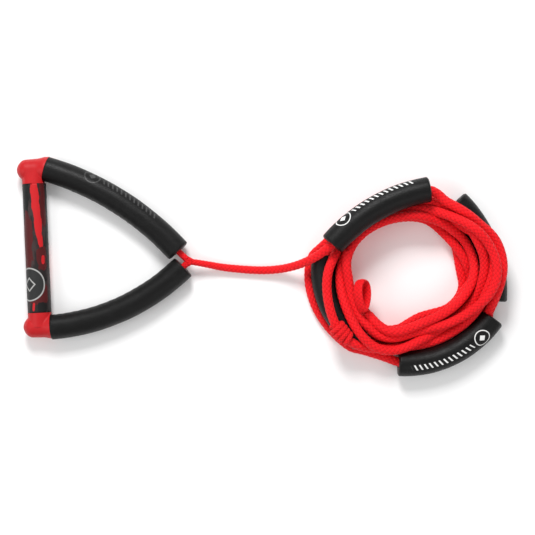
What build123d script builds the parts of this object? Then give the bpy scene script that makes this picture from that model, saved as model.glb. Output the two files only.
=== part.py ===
from build123d import *
import math
import os

# Wakesurf tow rope: a short EVA-covered handle on a two-leg floating bridle, its braided line
# wound up in a loose coil with four line floats and a spliced tow eye.
# Millimetres. +Z up from the ground the rope lies on. The handle bar lies along Y, the line
# leads away along +X. Origin: bottom centre of the handle and its bridle.

# ---- handle ----
BAR_X = -88.5            # the bar's axis
AXIS_Z = 15.9            # height of the bar, bridle and floats' axes above the ground
GRIP_OD, GRIP_LENGTH = 29.8, 163.4
TUBE_OD, TUBE_ID = 22.0, 18.0
CAP_Y = 99.5             # the end caps' cross barrels, either side of the bar's middle
CAP_BARREL_R, CAP_FLARE_R = 14.0, 15.9
CAP_DOME_X = 21.0        # how far a barrel's closed end stands out past the bar's axis
CAP_SPIGOT = 24.0        # depth of a cap's spigot in the tube
CAP_WEB = 1.6            # rounding in the crease between barrel and collar
HANDLE_ROPE_D = 8.0
HANDLE_ROPE_BEND = 9.0

# ---- bridle ----
FLOAT_R = 15.9
PIVOT_X = -54.5          # the bridle floats' domed ends turn about this line
DOME_R, SEAT_R = 25.0, 25.3
UPPER_PIVOT_Y, LOWER_PIVOT_Y = 93.5, -99.3
UPPER_END, UPPER_BEND_R = (89.9, -10.6), 364.0
LOWER_END, LOWER_BEND_R = (96.2, -31.4), 270.0
APEX = (103.8, -25.0)    # where both legs and the line meet
SPLICE_R, SPLICE_CLEAR_R = 5.7, 6.0

# ---- line ----
LINE_D = 11.0
LINE_FLOAT_R = 16.0
FOAM_EDGE_R = 1.6        # the foam's cut ends, eased
LEAD_ROUTE = [
    (109.7, -25.9, 15.9), (124.0, -29.0, 13.0), (146.0, -34.5, 6.6), (171.0, -38.0, 5.6),
    (196.0, -40.5, 5.8), (218.0, -40.0, 9.6), (237.5, -36.8, 20.0), (255.0, -30.8, 32.0),
    (270.5, -22.5, 43.0), (287.0, -9.6, 50.3),
]
# Arc centre x, y, bend radius, first angle, last angle, axis height; in line order.
FLOAT_ARCS = {
    "line_float_1": (433.0, -149.1, 202.1, 137.2, 97.0, 50.0),
    "line_float_2": (331.5, -73.5, 158.3, 43.7, -6.5, 17.5),
    "line_float_3": (377.1, -30.6, 136.0, -37.4, -95.4, 16.0),
    "line_float_4": (378.0, -48.0, 104.0, -193.0, -125.0, 17.5),
}

# ---- coil ----
COIL_CENTRE = (375.9, -53.7)
COIL_OUTER_R, COIL_OUTER_SPAN = 101.6, 55.8
COIL_HOLE_R, COIL_HOLE_SPAN = 64.0, 12.0
COIL_HEIGHT, COIL_ROUND = 44.0, 13.0
# Where the line leaves a float for the bundle: float, end, a point inside the bundle.
TAILS = [
    ("line_float_1", 1, (430.0, 22.0, 34.0)),
    ("line_float_2", 0, (430.0, 18.0, 20.0)),
    ("line_float_3", 0, (478.0, -84.0, 20.0)),
    ("line_float_3", 1, (322.0, -132.0, 16.0)),
]
EYE_CENTRE, EYE_TILT = (320.5, -77.0, 38.0), -25.0
EYE_HALF_GAP, EYE_STRAIGHT = 9.5, 14.0


def rope_volume_note(name, solid, path, radius):
    """Print a swept rope's volume against its section times its length, and its bend radii."""
    radii = [round(e.radius, 1) for e in path.edges() if e.geom_type == GeomType.CIRCLE]
    ideal = math.pi * radius**2 * path.length
    print(name, "length", round(path.length, 1), "bends", radii, "volume ratio", round(solid.volume / ideal, 4))


def filleted_route(points):
    """Straight runs joined by tangent arcs, each arc as wide as its shorter run allows."""
    radii = []
    for before, here, after in zip(points, points[1:], points[2:]):
        run_in, run_out = Vector(*here) - Vector(*before), Vector(*after) - Vector(*here)
        half_turn = math.radians(run_in.get_angle(run_out)) / 2
        radii.append(0.45 * min(run_in.length, run_out.length) / math.tan(half_turn))
    return FilletPolyline(*points, radius=radii)


def tube_on(path, radius):
    """A solid rope of this radius along a path."""
    return sweep(Plane(origin=path @ 0, z_dir=path % 0) * Circle(radius), path=path)


def rod(start, end, radius):
    """A straight round rod between two points."""
    axis = Vector(*end) - Vector(*start)
    return extrude(Plane(origin=start, z_dir=axis) * Circle(radius), axis.length)


def arc_rod(centre, bend_r, first, last, height, radius, bore=0.0):
    """A round rod or tube bent to a flat arc, between two angles about a vertical centre line."""
    plane = Plane(origin=(centre[0], centre[1], height), x_dir=(math.cos(math.radians(first)),
                  math.sin(math.radians(first)), 0), z_dir=(0, 0, 1))
    section = Circle(radius) - Circle(bore) if bore else Circle(radius)
    face = Plane(origin=plane.from_local_coords((bend_r, 0, 0)), x_dir=plane.x_dir,
                 z_dir=plane.y_dir) * section
    turn = last - first
    axis = Axis((centre[0], centre[1], height), (0, 0, math.copysign(1, turn)))
    return revolve(face, axis, abs(turn))


def arc_point(centre, bend_r, angle, height):
    """The point of a flat arc at an angle."""
    turn = math.radians(angle)
    return (centre[0] + bend_r * math.cos(turn), centre[1] + bend_r * math.sin(turn), height)


# ---- handle parts ----
def along_bar(radius, first_y, last_y):
    """A plain cylinder on the bar's axis."""
    return rod((BAR_X, first_y, AXIS_Z), (BAR_X, last_y, AXIS_Z), radius)


def handle_tube():
    """The bare tube under the grip."""
    half = GRIP_LENGTH / 2
    return along_bar(TUBE_OD / 2, -half, half) - along_bar(TUBE_ID / 2, -half, half)


def grip_sleeve():
    """The foam grip, its ends eased."""
    half = GRIP_LENGTH / 2
    sleeve = along_bar(GRIP_OD / 2, -half, half)
    sleeve = fillet(sleeve.edges().filter_by(GeomType.CIRCLE), 1.0)
    return sleeve - along_bar(TUBE_OD / 2, -half, half)


def handle_rope_path():
    """Through the bar and out of both caps' barrels towards the bridle."""
    corners = [(PIVOT_X, CAP_Y * side, AXIS_Z) for side in (1, -1)]
    bends = [(BAR_X, CAP_Y * side, AXIS_Z) for side in (1, -1)]
    return FilletPolyline(corners[0], bends[0], bends[1], corners[1], radius=HANDLE_ROPE_BEND)


def seat_sphere(pivot_y):
    """The ball a bridle float's end turns in."""
    return Pos(PIVOT_X, pivot_y, AXIS_Z) * Sphere(SEAT_R)


def handle_rope():
    """The rope inside the handle, cut at both seats."""
    rope = tube_on(handle_rope_path(), HANDLE_ROPE_D / 2)
    return rope - seat_sphere(UPPER_PIVOT_Y) - seat_sphere(LOWER_PIVOT_Y)


def cap_barrel(side):
    """The cross barrel: a closed dome one way, a flared mouth for the float the other."""
    mouth = PIVOT_X - BAR_X - 13.0
    with BuildSketch() as profile:
        with BuildLine():
            Spline((-CAP_DOME_X, 0), (-CAP_DOME_X + 3.2, 8.6), (-9.0, CAP_BARREL_R - 0.4),
                   tangents=[(0, 1), (1, 0.06)])
            Line((-9.0, CAP_BARREL_R - 0.4), (2.0, CAP_BARREL_R))
            Spline((2.0, CAP_BARREL_R), (10.0, CAP_BARREL_R + 0.9), (mouth - 6.0, CAP_FLARE_R),
                   tangents=[(1, 0), (1, 0.1)])
            Polyline((mouth - 6.0, CAP_FLARE_R), (mouth, CAP_FLARE_R), (mouth, 0), (-CAP_DOME_X, 0))
        make_face()
    turned = revolve(profile.sketch, Axis.X, 360)
    return Pos(BAR_X, CAP_Y * side, AXIS_Z) * turned


def end_cap(side, pivot_y):
    """A moulded elbow: barrel, collar and spigot, with the rope's channel and the ball seat."""
    grip_end = GRIP_LENGTH / 2 * side
    collar = along_bar(GRIP_OD / 2, grip_end, CAP_Y * side)
    body = cap_barrel(side) + collar
    crease = [e for e in body.edges() if e.geom_type not in (GeomType.CIRCLE, GeomType.LINE)
              and abs(abs(e.center().Y) - CAP_Y) > 2.0]
    body = fillet(crease, CAP_WEB)
    body += along_bar(TUBE_ID / 2, grip_end, grip_end - CAP_SPIGOT * side)
    body -= tube_on(handle_rope_path(), HANDLE_ROPE_D / 2)
    return body - seat_sphere(pivot_y)


# ---- bridle parts ----
def leg_arc(pivot_y, end, bend_r):
    """Centre and angles of a leg's arc from its pivot to the float's flat end."""
    start, stop = Vector(PIVOT_X, pivot_y), Vector(*end)
    chord = stop - start
    outward = Vector(chord.Y, -chord.X).normalized() * math.copysign(1, -pivot_y)
    centre = (start + stop) * 0.5 - outward * math.sqrt(bend_r**2 - (chord.length / 2) ** 2)
    angles = [math.degrees(math.atan2(p.Y - centre.Y, p.X - centre.X)) for p in (start, stop)]
    return (centre.X, centre.Y), angles[0], angles[1]


def past_pivot(first, last):
    """The arc's first angle taken back far enough to pass the domed end."""
    return first + math.copysign(6.0, first - last)


def dome_cutter(pivot_y, centre, first, last):
    """What lies behind the pivot and outside the ball, taken off the float's handle end."""
    turn = math.radians(first)
    sense = math.copysign(1, last - first)
    along = Vector(-math.sin(turn), math.cos(turn)) * sense
    plane = Plane(origin=(PIVOT_X, pivot_y, AXIS_Z), z_dir=(-along.X, -along.Y, 0))
    return extrude(plane * Rectangle(60, 60), 60) - Pos(PIVOT_X, pivot_y, AXIS_Z) * Sphere(DOME_R)


def bridle_piece(pivot_y, end, bend_r, radius, bore=0.0):
    """A rod or tube on a leg's arc with the domed handle end."""
    centre, first, last = leg_arc(pivot_y, end, bend_r)
    piece = arc_rod(centre, bend_r, past_pivot(first, last), last, AXIS_Z, radius, bore)
    return piece - dome_cutter(pivot_y, centre, first, last)


def eased(piece, radius, near=None):
    """The piece with its outer cut edges rounded, or only the one nearest a point."""
    rims = [e for e in piece.edges().filter_by(GeomType.CIRCLE)
            if abs(e.radius - radius) < 0.01 and e.length > 6 * radius]
    if near:
        rims = [min(rims, key=lambda e: (e.arc_center - Vector(*near)).length)]
    return fillet(rims, FOAM_EDGE_R)


def bridle_float(pivot_y, end, bend_r):
    """A long foam float, domed at the handle and cut square at the apex."""
    foam = bridle_piece(pivot_y, end, bend_r, FLOAT_R, HANDLE_ROPE_D / 2)
    return eased(foam, FLOAT_R, near=(*end, AXIS_Z))


def bridle_leg(pivot_y, end, bend_r):
    """A leg's rope through its float and on, straight, to the apex splice it stops short of."""
    centre, _, last = leg_arc(pivot_y, end, bend_r)
    turn, side = math.radians(last), math.copysign(1, pivot_y)
    along = Vector(math.sin(turn), -math.cos(turn)) * side
    start = Vector(end[0], end[1], AXIS_Z)
    tail = rod(start, start + along * 40.0, HANDLE_ROPE_D / 2)
    tail -= extrude(Plane(origin=(*APEX, AXIS_Z), z_dir=along) * Rectangle(40, 40), 60)
    leg = bridle_piece(pivot_y, end, bend_r, HANDLE_ROPE_D / 2) + tail
    return leg - Pos(*APEX, AXIS_Z) * Sphere(SPLICE_CLEAR_R)


# ---- line parts ----
def float_space(name):
    """The room a line float takes, its bore filled."""
    x, y, bend_r, first, last, height = FLOAT_ARCS[name]
    return arc_rod((x, y), bend_r, first, last, height, LINE_FLOAT_R)


def line_float(name):
    """A short foam float, bored for the line, its cut ends eased."""
    x, y, bend_r, first, last, height = FLOAT_ARCS[name]
    foam = arc_rod((x, y), bend_r, first, last, height, LINE_FLOAT_R, LINE_D / 2)
    return eased(foam, LINE_FLOAT_R)


def float_core(name):
    """The line inside a float."""
    x, y, bend_r, first, last, height = FLOAT_ARCS[name]
    return arc_rod((x, y), bend_r, first, last, height, LINE_D / 2)


def mainline_lead():
    """The free line from the apex to the mouth of the coil's first float."""
    return tube_on(filleted_route(LEAD_ROUTE), LINE_D / 2) - float_space("line_float_1")


def tow_eye():
    """The small spliced eye that ends the line, a long closed loop of rope."""
    half, gap, radius = EYE_STRAIGHT / 2, EYE_HALF_GAP, LINE_D / 2
    loop = Solid()
    for side in (1, -1):
        leg = rod((gap * side, -half, 0), (gap * side, half, 0), radius)
        bend = arc_rod((0, half * side), gap, 0, 180 * side, 0, radius)
        loop = leg + bend if side == 1 else loop + leg + bend
    return Pos(*EYE_CENTRE) * Rot(0, EYE_TILT, 0) * loop


def coil_ring():
    """The bundle's outer shape as a plain ring."""
    outer = SlotCenterToCenter(COIL_OUTER_SPAN, 2 * COIL_OUTER_R)
    hole = SlotCenterToCenter(COIL_HOLE_SPAN, 2 * COIL_HOLE_R)
    ring = extrude(outer - hole, COIL_HEIGHT)
    ring = fillet(ring.edges(), COIL_ROUND)
    return Pos(*COIL_CENTRE, 0) * ring


def float_tail(name, end, target):
    """The line between a float's mouth and the bundle."""
    x, y, bend_r, first, last, height = FLOAT_ARCS[name]
    mouth = arc_point((x, y), bend_r, (first, last)[end], height)
    return Pos(*mouth) * Sphere(LINE_D / 2) + rod(mouth, target, LINE_D / 2)


def rope_coil():
    """The coil: ring and tails, hollowed for the floats and the eye, with the line inside each float."""
    coil = coil_ring()
    for name, end, target in TAILS:
        coil += float_tail(name, end, target)
    for name in FLOAT_ARCS:
        coil -= float_space(name)
    coil -= tow_eye()
    for name in FLOAT_ARCS:
        coil += float_core(name)
    return coil - mainline_lead()


def main():
    upper = (UPPER_PIVOT_Y, UPPER_END, UPPER_BEND_R)
    lower = (LOWER_PIVOT_Y, LOWER_END, LOWER_BEND_R)
    lead_path = filleted_route(LEAD_ROUTE)
    rope_volume_note("mainline_lead", tube_on(lead_path, LINE_D / 2), lead_path, LINE_D / 2)
    upper_leg = bridle_leg(*upper)
    nodes = {
        "handle_tube": handle_tube(),
        "grip_sleeve": grip_sleeve(),
        "upper_end_cap": end_cap(1, UPPER_PIVOT_Y),
        "lower_end_cap": end_cap(-1, LOWER_PIVOT_Y),
        "handle_rope": handle_rope(),
        "upper_bridle_float": bridle_float(*upper),
        "lower_bridle_float": bridle_float(*lower),
        "upper_bridle_leg": upper_leg,
        "lower_bridle_leg": bridle_leg(*lower) - upper_leg,
        "apex_splice": Pos(*APEX, AXIS_Z) * Sphere(SPLICE_R),
        "mainline_lead": mainline_lead(),
        "tow_eye": tow_eye(),
        "rope_coil": rope_coil(),
    }
    nodes.update({name: line_float(name) for name in FLOAT_ARCS})
    os.makedirs("parts", exist_ok=True)
    for name, shape in nodes.items():
        solids = shape.solids()
        box = shape.bounding_box()
        print(name, len(solids), "solid", round(shape.volume), tuple(round(v, 1) for v in box.min),
              tuple(round(v, 1) for v in box.max))
        export_step(solids[0] if len(solids) == 1 else shape, f"parts/{name}.step")


main()
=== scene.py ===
# %% [markdown]
# A wakesurf tow rope: a short foam-covered handle hangs in a two-leg bridle of foam floats, and the
# braided line that tows it lies wound in a loose coil with four more floats and an eye at its end.
# The working parts come ready made as a fixed frame. This lesson dresses them: rope, foam, rubber
# and print, each as its own mesh with its own finish.

# %% Load the frame
import math
import bpy
import numpy as np
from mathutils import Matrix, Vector


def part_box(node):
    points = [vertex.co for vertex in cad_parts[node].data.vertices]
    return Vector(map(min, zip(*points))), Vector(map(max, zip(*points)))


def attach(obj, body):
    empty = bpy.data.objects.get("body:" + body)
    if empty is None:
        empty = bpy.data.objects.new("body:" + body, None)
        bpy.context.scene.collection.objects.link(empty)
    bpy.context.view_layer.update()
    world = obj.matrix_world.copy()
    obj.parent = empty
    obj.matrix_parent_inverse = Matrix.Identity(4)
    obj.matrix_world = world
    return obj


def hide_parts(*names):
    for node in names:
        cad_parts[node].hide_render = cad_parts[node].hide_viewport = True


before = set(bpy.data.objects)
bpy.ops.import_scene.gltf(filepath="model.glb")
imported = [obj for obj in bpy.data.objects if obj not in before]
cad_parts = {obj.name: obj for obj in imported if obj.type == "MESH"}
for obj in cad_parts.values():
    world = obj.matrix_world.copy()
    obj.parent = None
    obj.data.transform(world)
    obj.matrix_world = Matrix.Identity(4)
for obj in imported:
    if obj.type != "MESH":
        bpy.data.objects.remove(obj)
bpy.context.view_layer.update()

# %% [markdown]
# The camera hangs straight above the rope, as for a catalogue picture, with a long lens so that the
# round floats keep their width. It is turned a touch about the view line. The floor is a plain pale
# sheet, and the light comes from broad soft panels, because foam and braid need wide highlights.

# %% Camera, floor and light
VIEW_CENTRE = (0.2031, -0.0369)
VIEW_HEIGHT = 1.6165
VIEW_TURN = math.radians(-2.45)

camera = bpy.data.objects.new("camera", bpy.data.cameras.new("camera"))
camera.data.sensor_width = 36
camera.data.lens = 84.8
camera.location = (*VIEW_CENTRE, VIEW_HEIGHT)
camera.rotation_euler = (0, 0, VIEW_TURN)
bpy.context.scene.collection.objects.link(camera)
bpy.context.scene.camera = camera
bpy.context.scene.view_settings.view_transform = "Standard"


def soft_panel(name, place, target, size, power):
    """A square lamp at a place, facing a target."""
    lamp = bpy.data.lights.new(name, "AREA")
    lamp.size, lamp.energy = size, power
    panel = bpy.data.objects.new(name, lamp)
    panel.location = place
    panel.rotation_euler = (Vector(target) - Vector(place)).to_track_quat("-Z", "Y").to_euler()
    bpy.context.scene.collection.objects.link(panel)


soft_panel("key_panel", (0.05, 1.15, 1.20), (0.2, 0.0, 0.0), 0.55, 24.0)
soft_panel("fill_panel", (-1.2, -0.3, 1.3), (0.2, 0.0, 0.0), 1.0, 8.0)
soft_panel("front_panel", (0.9, -1.1, 1.2), (0.2, 0.0, 0.0), 1.2, 6.0)

world = bpy.data.worlds.new("studio")
world.use_nodes = True
world.node_tree.nodes["Background"].inputs["Color"].default_value = (1.0, 1.0, 1.0, 1.0)
world.node_tree.nodes["Background"].inputs["Strength"].default_value = 0.52
bpy.context.scene.world = world

# %% [markdown]
# Most finishes here are small networks of shader nodes. Wiring them by hand is long-winded, so a
# little helper places a node, sets its inputs and gives back its output. An input may be a number,
# a colour or another node's output.

# %% Wiring shader nodes
class Wiring:
    """Places nodes in one node tree and joins them."""

    def __init__(self, tree):
        self.tree = tree

    def node(self, kind, inputs=None, **settings):
        """A node with its settings, and its inputs set or joined."""
        made = self.tree.nodes.new(kind)
        for key, value in settings.items():
            setattr(made, key, value)
        for key, value in (inputs or {}).items():
            if isinstance(value, bpy.types.NodeSocket):
                self.tree.links.new(value, made.inputs[key])
            else:
                made.inputs[key].default_value = value
        return made

    def math(self, operation, *values):
        """One sum on one to three values."""
        return self.node("ShaderNodeMath", dict(enumerate(values)), operation=operation).outputs[0]

    def mix(self, share, first, second):
        """A colour between two colours."""
        return self.node("ShaderNodeMix", {0: share, 6: first, 7: second}, data_type="RGBA").outputs[2]

    def ramp(self, value, low, high):
        """0 below low, 1 above high, eased between; swapped limits turn it round."""
        inputs = {"Value": value, "From Min": low, "From Max": high}
        return self.node("ShaderNodeMapRange", inputs, interpolation_type="SMOOTHSTEP").outputs[0]

    def noise(self, vector, scale, detail=2.0):
        """Cloudy noise from 0 to 1."""
        inputs = {"Vector": vector, "Scale": scale, "Detail": detail}
        return self.node("ShaderNodeTexNoise", inputs).outputs[0]

    def object_point(self):
        return self.node("ShaderNodeTexCoord").outputs["Object"]

    def split(self, vector):
        """A vector's x and y."""
        parts = self.node("ShaderNodeSeparateXYZ", {0: vector})
        return parts.outputs[0], parts.outputs[1]

    def group(self, name, inputs):
        """A shader node group placed here; its outputs by name."""
        return self.node("ShaderNodeGroup", inputs, node_tree=bpy.data.node_groups[name]).outputs


def new_group(name, inputs, outputs):
    """An empty node group with named sockets, its wiring, and its input and output nodes."""
    tree = bpy.data.node_groups.new(name, "ShaderNodeTree")
    for way, sockets in (("INPUT", inputs), ("OUTPUT", outputs)):
        for socket, kind in sockets.items():
            tree.interface.new_socket(socket, in_out=way, socket_type=kind)
    wiring = Wiring(tree)
    return wiring, wiring.node("NodeGroupInput").outputs, wiring.node("NodeGroupOutput").inputs


FLOAT, VECTOR = "NodeSocketFloat", "NodeSocketVector"
print("wiring helper ready")

# %% Start a material
def new_material(name, **plain):
    """A material with its shader's plain values set, its wiring and its shader."""
    made = bpy.data.materials.new(name)
    made.use_nodes = True
    shader = made.node_tree.nodes["Principled BSDF"]
    for key, value in plain.items():
        shader.inputs[key.replace("_", " ")].default_value = value
    return made, Wiring(made.node_tree), shader


def finish_with(wiring, shader, colour, roughness, height, depth):
    """Joins a colour, a roughness and a bump height, whose full depth is in metres, to a shader."""
    bump = wiring.node("ShaderNodeBump", {"Height": height, "Distance": depth, "Strength": 1.0})
    tree = wiring.tree
    tree.links.new(colour, shader.inputs["Base Color"])
    tree.links.new(roughness, shader.inputs["Roughness"])
    tree.links.new(bump.outputs[0], shader.inputs["Normal"])


# %% [markdown]
# The line is a hollow braid of twelve strands, six each way round. Where two cross, the one on top
# changes from crossing to crossing. The pattern is worked out twice with one formula: here in
# shader nodes, fine enough for single yarns, and further down in numpy, where it raises the mesh.
# The coordinates are the rope's own: turns round it, and girths along it.

# %% Braid, as a node group
STRANDS_EACH_WAY = 6
BRAID_LEAN = 0.93        # crossings per girth of length, as a share of those round the girth


def braid_group():
    """Height and yarn tone of a braid, from turns round and girths along a rope."""
    w, given, result = new_group("braid", {"Turns and Girths": VECTOR}, {"Height": FLOAT, "Yarn": FLOAT})
    turns, girths = w.split(given[0])
    across = w.math("MULTIPLY", turns, STRANDS_EACH_WAY)
    along = w.math("MULTIPLY", girths, STRANDS_EACH_WAY * BRAID_LEAN)
    left, right = w.math("ADD", across, along), w.math("SUBTRACT", across, along)
    crossing = w.math("ADD", w.math("FLOOR", left), w.math("FLOOR", right))
    on_top = w.math("FLOORED_MODULO", crossing, 2.0)
    in_left, in_right = w.math("FRACT", left), w.math("FRACT", right)
    width = w.node("ShaderNodeMix", {0: on_top, 2: in_left, 3: in_right}).outputs[0]
    length = w.node("ShaderNodeMix", {0: on_top, 2: in_right, 3: in_left}).outputs[0]
    crown = w.math("SINE", w.math("MULTIPLY", width, math.pi))
    rise = w.math("MULTIPLY_ADD", w.math("SINE", w.math("MULTIPLY", length, math.pi)), 0.45, 0.55)
    yarns = w.math("ABSOLUTE", w.math("SINE", w.math("MULTIPLY", width, math.pi * 4)))
    height = w.math("MULTIPLY_ADD", yarns, 0.16, w.math("MULTIPLY", crown, rise))
    w.tree.links.new(height, result["Height"])
    w.tree.links.new(w.math("MULTIPLY", yarns, crown), result["Yarn"])


braid_group()


def braid_relief(turns, girths):
    """The same braid in numpy: sine crown across the top strand, eased along it, from 0 to 1."""
    across, along = turns * STRANDS_EACH_WAY, girths * STRANDS_EACH_WAY * BRAID_LEAN
    left, right = across + along, across - along
    on_top = (np.floor(left + 1e-6) + np.floor(right + 1e-6)) % 2 > 0.5
    width = np.where(on_top, right % 1.0, left % 1.0)
    length = np.where(on_top, left % 1.0, right % 1.0)
    return np.sin(np.pi * width) * (0.55 + 0.45 * np.sin(np.pi * length))


# %% Rope finish
def rope_finish():
    """Red braided rope: bright crowns, painted shade in the crevices, slightly uneven dye and a soft sheen.
    """
    material, w, shader = new_material("rope_red", Sheen_Weight=0.04, Sheen_Roughness=0.5,
                                       Specular_IOR_Level=0.12)
    weave = w.group("braid", {0: w.node("ShaderNodeUVMap", uv_map="rope").outputs[0]})
    dye = w.noise(w.object_point(), 38.0, 3.0)
    # The braid's low parts get a darker red: painted shade in the crevices, over the same uneven dye.
    painted_crevice_shade = w.mix(dye, (0.50, 0.004, 0.007, 1.0), (0.60, 0.006, 0.010, 1.0))
    bright = w.mix(dye, (0.80, 0.008, 0.013, 1.0), (0.90, 0.011, 0.017, 1.0))
    # The braid's height sets how much of the painted crevice shade shows against the crown red.
    unshaded_crown_share = w.ramp(weave["Height"], 0.05, 0.55)
    colour = w.mix(unshaded_crown_share, painted_crevice_shade, bright)
    roughness = w.math("MULTIPLY_ADD", weave["Yarn"], -0.12, 0.62)
    finish_with(w, shader, colour, roughness, weave["Height"], 0.0007)
    return material


ROPE_RED = rope_finish()
print("rope finish", ROPE_RED.name)

# %% [markdown]
# Every new piece is a sheet of points on a grid: rows run along it and columns round it. One helper
# turns such a grid into a mesh. Columns always close on themselves. Rows either close too, as in a
# bored tube whose surface runs back through its bore, or end in a point that a fan of triangles
# shuts, so no piece has an open edge.

# %% Grid to mesh
def grid_piece(name, points, uv, material, uv_name, rows_close=False):
    """A closed mesh from a grid of points (rows, columns, 3) and its map (rows + 1, columns + 1, 2)."""
    rows, columns = points.shape[:2]
    row, column = np.meshgrid(np.arange(rows if rows_close else rows - 1), np.arange(columns), indexing="ij")
    row_on, column_on = (row + 1) % rows, (column + 1) % columns
    corners = ((row, column), (row, column_on), (row_on, column_on), (row_on, column))
    quads = np.stack([r * columns + c for r, c in corners], axis=-1).reshape(-1, 4)
    map_corners = ((row, column), (row, column + 1), (row + 1, column + 1), (row + 1, column))
    quad_uv = np.stack([uv[r, c] for r, c in map_corners], axis=-2).reshape(-1, 2)
    vertices, triangles, triangle_uv = points.reshape(-1, 3), np.empty((0, 3), int), np.empty((0, 2))
    if not rows_close:
        here, after = np.arange(columns), (np.arange(columns) + 1) % columns
        first_fan = np.stack([np.full(columns, rows * columns), after, here], axis=-1)
        start = (rows - 1) * columns
        last_fan = np.stack([np.full(columns, rows * columns + 1), start + here, start + after], axis=-1)
        vertices = np.vstack([vertices, points[0].mean(0), points[-1].mean(0)])
        triangles = np.vstack([first_fan, last_fan])
        first_uv, last_uv = uv[0, here], uv[rows - 1, here]
        triangle_uv = np.vstack([np.repeat(first_uv, 3, axis=0), np.repeat(last_uv, 3, axis=0)])
    mesh = bpy.data.meshes.new(name)
    mesh.vertices.add(len(vertices))
    mesh.vertices.foreach_set("co", vertices.astype(np.float32).ravel())
    loops = np.concatenate([quads.ravel(), triangles.ravel()])
    mesh.loops.add(len(loops))
    mesh.loops.foreach_set("vertex_index", loops.astype(np.int32))
    starts = np.concatenate([np.arange(len(quads)) * 4, len(quads) * 4 + np.arange(len(triangles)) * 3])
    mesh.polygons.add(len(starts))
    mesh.polygons.foreach_set("loop_start", starts.astype(np.int32))
    mesh.update(calc_edges=True)
    layer = mesh.uv_layers.new(name=uv_name)
    layer.data.foreach_set("uv", np.vstack([quad_uv, triangle_uv]).astype(np.float32).ravel())
    mesh.polygons.foreach_set("use_smooth", np.ones(len(starts), bool))
    mesh.materials.append(material)
    mesh.validate()
    piece = bpy.data.objects.new(name, mesh)
    bpy.context.scene.collection.objects.link(piece)
    print(name, len(vertices), "points")
    return piece


def frames_along(path):
    """Unit tangent, sideways and upward directions at each point of a mostly level path."""
    tangent = np.gradient(path, axis=0)
    tangent /= np.linalg.norm(tangent, axis=1, keepdims=True)
    side = np.cross((0.0, 0.0, 1.0), tangent)
    side /= np.linalg.norm(side, axis=1, keepdims=True)
    return tangent, side, np.cross(tangent, side)


def lengths_along(path):
    """Distance from the start to each point of a path."""
    return np.concatenate([[0.0], np.cumsum(np.linalg.norm(np.diff(path, axis=0), axis=1))])


def evenly(path, spacing):
    """The path's points moved along it to even spacing."""
    run = lengths_along(path)
    even = np.linspace(0.0, run[-1], max(2, round(run[-1] / spacing) + 1))
    return np.stack([np.interp(even, run, path[:, axis]) for axis in range(3)], axis=1)


# %% [markdown]
# A rope piece follows the smooth line that Blender itself works out for a NURBS curve. The route's
# points pull on the line without lying on it, so it bends as a rope bends. The line's own points are
# read back from an unbevelled curve, and the braid is raised on a tube round them.

# %% Smooth lines and rope tubes
ROPE_COLUMNS = 24
ROPE_ROW = 0.00129
BRAID_RISE = 0.00045


def smooth_line(name, route):
    """The points of the NURBS line that a route's points pull."""
    curve = bpy.data.curves.new(name, "CURVE")
    curve.dimensions = "3D"
    curve.resolution_u = 16
    spline = curve.splines.new("NURBS")
    spline.points.add(len(route) - 1)
    spline.points.foreach_set("co", np.c_[route, np.ones(len(route))].ravel())
    spline.order_u = 3
    spline.use_endpoint_u = True
    holder = bpy.data.objects.new(name, curve)
    mesh = bpy.data.meshes.new_from_object(holder)
    points = np.empty(len(mesh.vertices) * 3)
    mesh.vertices.foreach_get("co", points)
    bpy.data.objects.remove(holder)
    bpy.data.meshes.remove(mesh)
    return points.reshape(-1, 3)


def rope_tube(name, path, radius, row=ROPE_ROW):
    """A braided tube: centre line + (radius + braid) (cos a side + sin a up), a going once round."""
    path = evenly(path, row)
    run = lengths_along(path)
    reach = np.interp(run / run[-1], *radius) if isinstance(radius, tuple) else np.full(len(run), radius)
    _, side, up = frames_along(path)
    turns = np.arange(ROPE_COLUMNS) / ROPE_COLUMNS
    girths = np.cumsum(np.gradient(run) / (2 * math.pi * reach))
    raised = reach[:, None] + BRAID_RISE * (braid_relief(turns[None, :], girths[:, None]) - 0.5)
    angle = 2 * math.pi * turns[None, :, None]
    ring = np.cos(angle) * side[:, None] + np.sin(angle) * up[:, None]
    points = path[:, None] + raised[:, :, None] * ring
    edge_turns = np.linspace(0.0, 1.0, ROPE_COLUMNS + 1)
    uv = np.stack(np.broadcast_arrays(edge_turns[None, :], np.append(girths, girths[-1])[:, None]), axis=-1)
    return grid_piece(name, points, uv, ROPE_RED, "rope")


# %% [markdown]
# The main line comes first. From the bridle it runs along the floor, climbs to the mouth of the first float,
# and then goes round the coil, through all four floats on the way. The stretch up to the coil
# is a list of given points. Inside a float the line follows the float's bend.

# %% The line's fixed stretches
LEAD_ROUTE = [
    (0.1074, -0.0256, 0.0159), (0.1240, -0.0290, 0.0130), (0.1460, -0.0345, 0.0066),
    (0.1710, -0.0380, 0.0056), (0.1960, -0.0405, 0.0058), (0.2180, -0.0400, 0.0096),
    (0.2375, -0.0368, 0.0200), (0.2550, -0.0308, 0.0320), (0.2705, -0.0225, 0.0430),
]
ROPE_R = 0.0060
FLOAT_R = 0.0160
STEP = 0.0070            # spacing of the points that stand for the line while it settles
# Bend centre x, y, bend radius, first and last angle in line order, height of the float's line.
FLOAT_ARCS = {
    "line_float_1": (0.4330, -0.1491, 0.2021, 137.2, 97.0, 0.0500),
    "line_float_3": (0.3771, -0.0306, 0.1360, -37.4, -95.4, 0.0160),
    "line_float_2": (0.3315, -0.0735, 0.1583, 43.7, -6.5, 0.0175),
    "line_float_4": (0.3780, -0.0480, 0.1040, -125.0, -193.0, 0.0175),
}


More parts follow.
